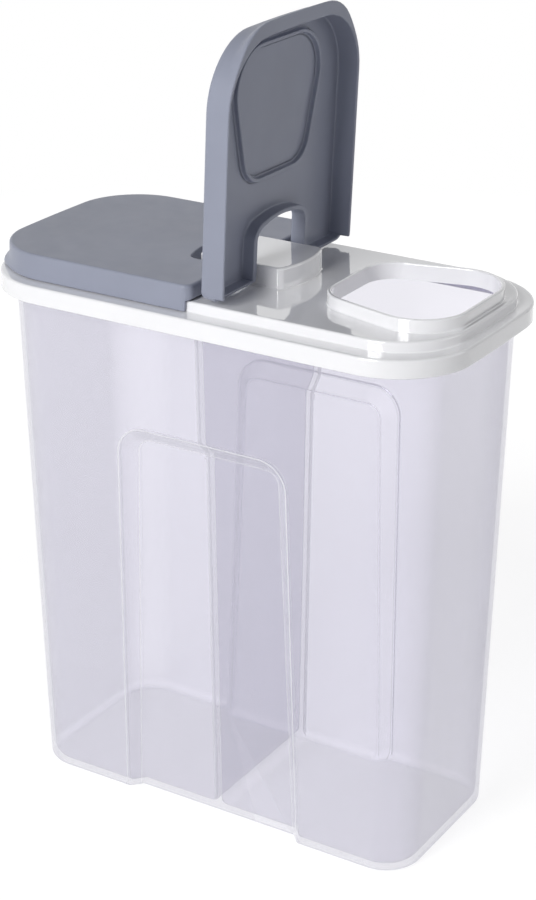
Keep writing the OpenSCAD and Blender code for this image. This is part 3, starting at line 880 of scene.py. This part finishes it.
class KEEPER_OT_lid(bpy.types.Operator):
    """Builds the lid with its pour collars, hinge block and pins"""

    bl_idname = "keeper.build_lid"
    bl_label = "Build lid"

    def execute(self, context):
        plan = Plan(context.scene)
        l = plan.l
        bm = bmesh.new()
        inner_deck = plan.deck_z - l.wall
        soft, collar_edge = 0.0009, 0.0006  # radii of the upper edges
        deck_foot, collar_foot, block_foot = 0.0012, 0.0011, 0.0009  # flats round their feet
        band = rounded_path(
            [
                (l.wall, plan.lid_inside, 0),
                (l.wall, plan.rim_bottom, EDGE),
                (0, plan.rim_bottom, EDGE),
                (0, plan.ledge, soft),
                (FLAT, plan.ledge, 0),
            ]
        )
        step = rounded_path(
            [
                (-deck_foot, plan.ledge, 0),
                (0, plan.ledge, EDGE),
                (0, plan.deck_z, soft),
                (FLAT, plan.deck_z, 0),
            ]
        )
        rings = [at(plan.lid_outline(plan.rim, inset), z) for inset, z in band]
        rings += [at(plan.lid_outline(plan.deck, inset), z) for inset, z in step]
        inside, deck = sweep(bm, rings)
        hidden = [
            at(plan.lid_outline(plan.deck, l.wall), plan.lid_inside),
            at(plan.lid_outline(plan.deck, l.wall), inner_deck),
        ]
        _, ceiling = sweep(bm, hidden, inside)
        tops, unders = [deck], [ceiling]

        collar = rounded_path(
            [
                (collar_foot, plan.deck_z, 0),
                (0, plan.deck_z, EDGE),
                (0, plan.collar_top, collar_edge),
                (-l.collar_wall, plan.collar_top, collar_edge),
                (-l.collar_wall, inner_deck, 0),
            ]
        )
        for side in (1, -1):
            rings = [
                [(side * x, y, z) for x, y in plan.collar_outline(grow)] for grow, z in collar
            ]
            first, last = sweep(bm, rings)
            tops.append(first)
            unders.append(last)

        block = rounded_path(
            [
                (-block_foot, plan.deck_z, 0),
                (0, plan.deck_z, EDGE),
                (0, plan.block_top, soft),
                (FLAT, plan.block_top, 0),
            ]
        )
        first, last = sweep(bm, [at(plan.block_outline(inset), z) for inset, z in block])
        close_ring(bm, last)
        tops.append(first)
        hollow = plan.block_outline(l.wall)
        first, last = sweep(bm, [at(hollow, z) for z in (inner_deck, plan.block_top - l.wall)])
        close_ring(bm, last)
        unders.append(first)
        fill_between(bm, tops, 1)
        fill_between(bm, unders, -1)
        for x in (-l.hinge_x, l.hinge_x):
            for side in (-1, 1):
                centre = Vector((x, 0, plan.hinge.z))
                root = side * (l.block_half_depth - EMBED)
                knuckle = side * (l.block_half_depth + l.pin_collar)
                pin(bm, centre, l.pin_collar_radius, root, knuckle)
                pin(bm, centre, l.pin_radius, root, side * plan.pin_end)
        finish_mesh(bm)
        material = white_plastic(context.scene.keeper_colours)
        add_piece("keeper_lid", bm, material, "lid", "white_lid", "lid")
        return {"FINISHED"}


def cap_mesh(plan):
    """A flip cap in its closed place on the right: walls, top and arch, without the plug ring."""
    c = plan.c
    bm = bmesh.new()
    soft, fillet = 0.0003, 0.0007  # radii of the lower edges, and of the corner under the top
    rounding = {"arch": c.arch_round, "hinge": c.hinge_round}

    def ring(insets, height, lip=False):
        """Points of an outline with its walls set in, each at the height for its place and part.
        With lip, the finger lip stands out by its reach at that height."""
        points = []
        for x, y, part in plan.cap_outline(*insets):
            z = height(x, part)
            if lip and part == "end":
                near_end = unit((x - plan.cap_end + plan.cap_corner) / plan.cap_corner)
                x += near_end * plan.lip_share(y) * plan.lip_at(z)
            points.append((x, y, z))
        return points

    def below_top(part, drop=1.0):
        return plan.cap_top - rounding.get(part, c.edge_round) * drop

    def above_low(x, part):
        return plan.cap_low(x, part) + soft

    rings = []
    for a in reversed(quarter(5)):
        rest = 1 - cos(a)
        side, hinge = c.draft + c.edge_round * rest, c.draft + c.hinge_round * rest
        insets = (side, side, hinge, c.arch_round * rest, c.arch_round * rest)
        rings.append(ring(insets, lambda x, part: below_top(part, 1 - sin(a)), lip=True))
    for t in CAP_LEVELS:
        lean = c.draft * t
        insets = (lean, lean, lean, 0.0, 0.0)
        rings.append(
            ring(insets, lambda x, part: blend(above_low(x, part), below_top(part), t), lip=True)
        )
    rings.append(ring((soft,) * 5, plan.cap_low, lip=True))
    inner = (c.wall, c.end_wall, c.wall, c.arch_wall, c.arch_end_wall)
    rings.append(ring([v - soft for v in inner], plan.cap_low))
    rings.append(ring(inner, above_low))
    for a in quarter(3):
        grow = fillet * (1 - cos(a))
        z = plan.cap_underside - fillet * (1 - sin(a))
        rings.append(ring([v + grow for v in inner], lambda x, part: z))
    top, under = sweep(bm, rings)
    close_ring(bm, top)
    close_ring(bm, under)
    bmesh.ops.recalc_face_normals(bm, faces=bm.faces[:])
    return bm


def bore_ears(bm, plan):
    """Cuts the hinge bores into a cap's ears."""
    solid = bpy.data.meshes.new("cap_blank")
    bm.to_mesh(solid)
    bm.free()
    blank = bpy.data.objects.new("cap_blank", solid)
    cutter = bmesh.new()
    bore_radius = plan.l.pin_radius + plan.c.clearance
    bar_along_y(cutter, plan.hinge, bore_radius, 2 * plan.bore_end, BORE_SEGMENTS)
    bar = bpy.data.meshes.new("bore_bar")
    cutter.to_mesh(bar)
    cutter.free()
    drill = bpy.data.objects.new("bore_bar", bar)
    for obj in (blank, drill):
        bpy.context.scene.collection.objects.link(obj)
    cut = blank.modifiers.new("Bores", "BOOLEAN")
    cut.operation = "DIFFERENCE"
    cut.solver = "EXACT"
    cut.object = drill
    bpy.context.view_layer.update()
    graph = bpy.context.evaluated_depsgraph_get()
    bored = bpy.data.meshes.new_from_object(blank.evaluated_get(graph))
    result = bmesh.new()
    result.from_mesh(bored)
    for obj in (blank, drill):
        bpy.data.objects.remove(obj)
    for mesh in (solid, bar, bored):
        bpy.data.meshes.remove(mesh)
    return result


def plug_ring(bm, plan):
    """Adds the ring under a cap's top that plugs the pour collar."""
    c = plan.c
    outer = -plan.l.collar_wall - c.plug_gap
    inner = outer - c.plug_wall
    up, low, foot = plan.cap_underside, plan.cap_underside - c.plug_depth, 0.0011
    fillet, edge = 0.0006, 0.0004
    path = rounded_path(
        [
            (outer + foot, up + EMBED, 0),
            (outer + foot, up, 0),
            (outer, up, fillet),
            (outer, low, edge),
            (inner, low, edge),
            (inner, up, fillet),
            (inner - foot, up, 0),
            (inner - foot, up + EMBED, 0),
        ]
    )
    first, last = sweep(bm, [at(plan.collar_outline(grow), z) for grow, z in path])
    bmesh.ops.bridge_loops(bm, edges=edges_of(bm, first) + edges_of(bm, last))


class KEEPER_OT_caps(bpy.types.Operator):
    """Builds the two flip caps, the left one closed and the right one open"""

    bl_idname = "keeper.build_caps"
    bl_label = "Build caps"

    def execute(self, context):
        plan = Plan(context.scene)
        material = grey_plastic(context.scene.keeper_colours)
        for name, node, mirrored in (
            ("keeper_cap_left", "cap_left", True),
            ("keeper_cap_right", "cap_right", False),
        ):
            bm = bore_ears(cap_mesh(plan), plan)
            plug_ring(bm, plan)
            if mirrored:
                bmesh.ops.scale(bm, vec=(-1, 1, 1), verts=bm.verts[:])
            else:
                bmesh.ops.rotate(
                    bm,
                    cent=plan.hinge,
                    matrix=Matrix.Rotation(-plan.c.open_angle, 3, "Y"),
                    verts=bm.verts[:],
                )
            finish_mesh(bm)
            add_piece(name, bm, material, node, "grey_cap", node)
        return {"FINISHED"}


# ---------------------------------------------------------------- stage

FLOOR_HALF = 14.0  # half the floor's width
FADE_START, FADE_END = 0.25, 0.9  # distances over which the floor's shaded share fades out
AMBIENT_COLOUR, AMBIENT_STRENGTH = (0.95, 0.96, 1.0, 1), 0.15
LAMP_TARGET = (0, 0, 0.16)
LAMPS = {  # place, width and height, and power
    "key": ((-0.15, -1.43, 0.92), (0.6, 1.0), 18.5),
    "side": ((1.3, 0.6, 0.6), (0.8, 0.8), 2.4),
}


def add_lamp(name, place, size, energy):
    """A soft rectangular lamp at place that faces the keeper."""
    data = bpy.data.lights.new(name, "AREA")
    data.shape = "RECTANGLE"
    data.size, data.size_y = size
    data.energy = energy
    lamp = bpy.data.objects.new(name, data)
    lamp.location = place
    ahead = Vector(LAMP_TARGET) - Vector(place)
    lamp.rotation_euler = ahead.to_track_quat("-Z", "Y").to_euler()
    bpy.context.scene.collection.objects.link(lamp)


def seen_rays(tree):
    """1 for camera, glossy and transmission rays, else 0."""
    rays = tree.nodes.new("ShaderNodeLightPath")
    seen = rays.outputs["Is Camera Ray"]
    for other in ("Is Glossy Ray", "Is Transmission Ray"):
        seen = calculate(tree, "MAXIMUM", seen, rays.outputs[other])
    return seen


def add_camera(scene):
    """The camera, at the photograph's place and angle."""
    yaw, pitch, roll = 0.554821, -0.396976, 0.001097
    place = Vector((0.426384, -0.684208, 0.497122))
    focal_pixels, frame_width, frame_height = 2169.48, 536, 900
    middle_x, middle_y = 266.609, 432.178
    right = Vector((cos(yaw), sin(yaw), 0))
    ahead = Vector((-sin(yaw) * cos(pitch), cos(yaw) * cos(pitch), sin(pitch)))
    up = right.cross(ahead)
    right, up = right * cos(roll) + up * sin(roll), up * cos(roll) - right * sin(roll)
    data = bpy.data.cameras.new("photo_view")
    data.sensor_fit = "VERTICAL"
    data.sensor_height = 36
    data.lens = 36 * focal_pixels / frame_height
    data.shift_x = (frame_width / 2 - middle_x) / frame_height
    data.shift_y = (middle_y - frame_height / 2) / frame_height
    data.clip_start, data.clip_end = 0.05, 60
    camera = bpy.data.objects.new("photo_view", data)
    turn = Matrix((right, up, -ahead)).transposed()
    camera.matrix_world = Matrix.Translation(place) @ turn.to_4x4()
    scene.collection.objects.link(camera)
    scene.camera = camera


def floor_material(colours):
    """A floor that shows as white and keeps the object's soft shadow. Its shaded share fades out
    with the distance from the object."""
    material, tree, shader = new_material("pale_floor")
    tint(tree, 3, colours.floor, 0.995, 1.0, shader.inputs["Base Color"])
    uneven(tree, 40, 0.3, 0.4, shader.inputs["Roughness"])
    set_sockets(shader, Specular_IOR_Level=0.25)
    distance = tree.nodes.new("ShaderNodeVectorMath")
    distance.operation = "LENGTH"
    tree.links.new(object_place(tree), distance.inputs[0])

    def from_near(value):
        """value near the object, and 1 far from it."""
        return mapped(tree, distance.outputs["Value"], FADE_START, FADE_END, value, 1.0)

    # With this strength, glow and lit floor together show as white
    near_strength = (1 - (1 - colours.floor_glow) * colours.floor_lit) / colours.floor_glow
    glow = add_node(tree, "ShaderNodeEmission", Color=(1, 1, 1, 1))
    tree.links.new(from_near(near_strength), glow.inputs["Strength"])
    part = calculate(tree, "MULTIPLY", seen_rays(tree), from_near(colours.floor_glow))
    show_mix(tree, part, shader.outputs["BSDF"], glow.outputs["Emission"])
    return material


class KEEPER_OT_stage(bpy.types.Operator):
    """Sets up the floor, the soft light and the camera"""

    bl_idname = "keeper.build_stage"
    bl_label = "Build stage"

    def execute(self, context):
        scene = context.scene
        bm = bmesh.new()
        bmesh.ops.create_grid(bm, x_segments=1, y_segments=1, size=FLOOR_HALF)
        mesh = bpy.data.meshes.new("floor")
        bm.to_mesh(mesh)
        bm.free()
        mesh.materials.append(floor_material(scene.keeper_colours))
        floor = bpy.data.objects.new("floor", mesh)
        scene.collection.objects.link(floor)

        world = bpy.data.worlds.new("studio")
        world.use_nodes = True
        tree = world.node_tree
        ambient = tree.nodes["Background"]
        set_sockets(ambient, Color=AMBIENT_COLOUR, Strength=AMBIENT_STRENGTH)
        backdrop = add_node(tree, "ShaderNodeBackground", Color=(1, 1, 1, 1), Strength=1.0)
        shades = [node.outputs["Background"] for node in (ambient, backdrop)]
        show_mix(tree, seen_rays(tree), *shades, "World Output")
        scene.world = world

        for name, (place, size, energy) in LAMPS.items():
            add_lamp(name, place, size, energy)
        scene.view_settings.view_transform = "Standard"
        scene.cycles.use_denoising = True
        scene.cycles.transparent_max_bounces = 24
        add_camera(scene)
        return {"FINISHED"}


class KEEPER_PT_panel(bpy.types.Panel):
    """The keeper's sizes, colours and build buttons"""

    bl_label = "Keeper"
    bl_idname = "KEEPER_PT_panel"
    bl_space_type = "VIEW_3D"
    bl_region_type = "UI"
    bl_category = "Keeper"

    def draw(self, context):
        layout = self.layout
        for operator in OPERATORS:
            layout.operator(operator.bl_idname)
        for name in GROUPS:
            box = layout.box()
            box.label(text=name.replace("keeper_", "").capitalize())
            group = getattr(context.scene, name)
            for prop in group.__annotations__:
                box.prop(group, prop)


GROUPS = {
    "keeper_body": KEEPER_body,
    "keeper_lid": KEEPER_lid,
    "keeper_caps": KEEPER_caps,
    "keeper_colours": KEEPER_colours,
}
OPERATORS = (KEEPER_OT_body, KEEPER_OT_lid, KEEPER_OT_caps, KEEPER_OT_stage)


def register():
    for name, group in GROUPS.items():
        bpy.utils.register_class(group)
        setattr(bpy.types.Scene, name, PointerProperty(type=group))
    for cls in OPERATORS + (KEEPER_PT_panel,):
        bpy.utils.register_class(cls)


def unregister():
    for cls in reversed(OPERATORS + (KEEPER_PT_panel,)):
        bpy.utils.unregister_class(cls)
    for name, group in GROUPS.items():
        delattr(bpy.types.Scene, name)
        bpy.utils.unregister_class(group)


def main():
    register()
    bpy.ops.keeper.build_stage()
    bpy.ops.keeper.build_body()
    bpy.ops.keeper.build_lid()
    bpy.ops.keeper.build_caps()


if __name__ == "__main__":
    main()
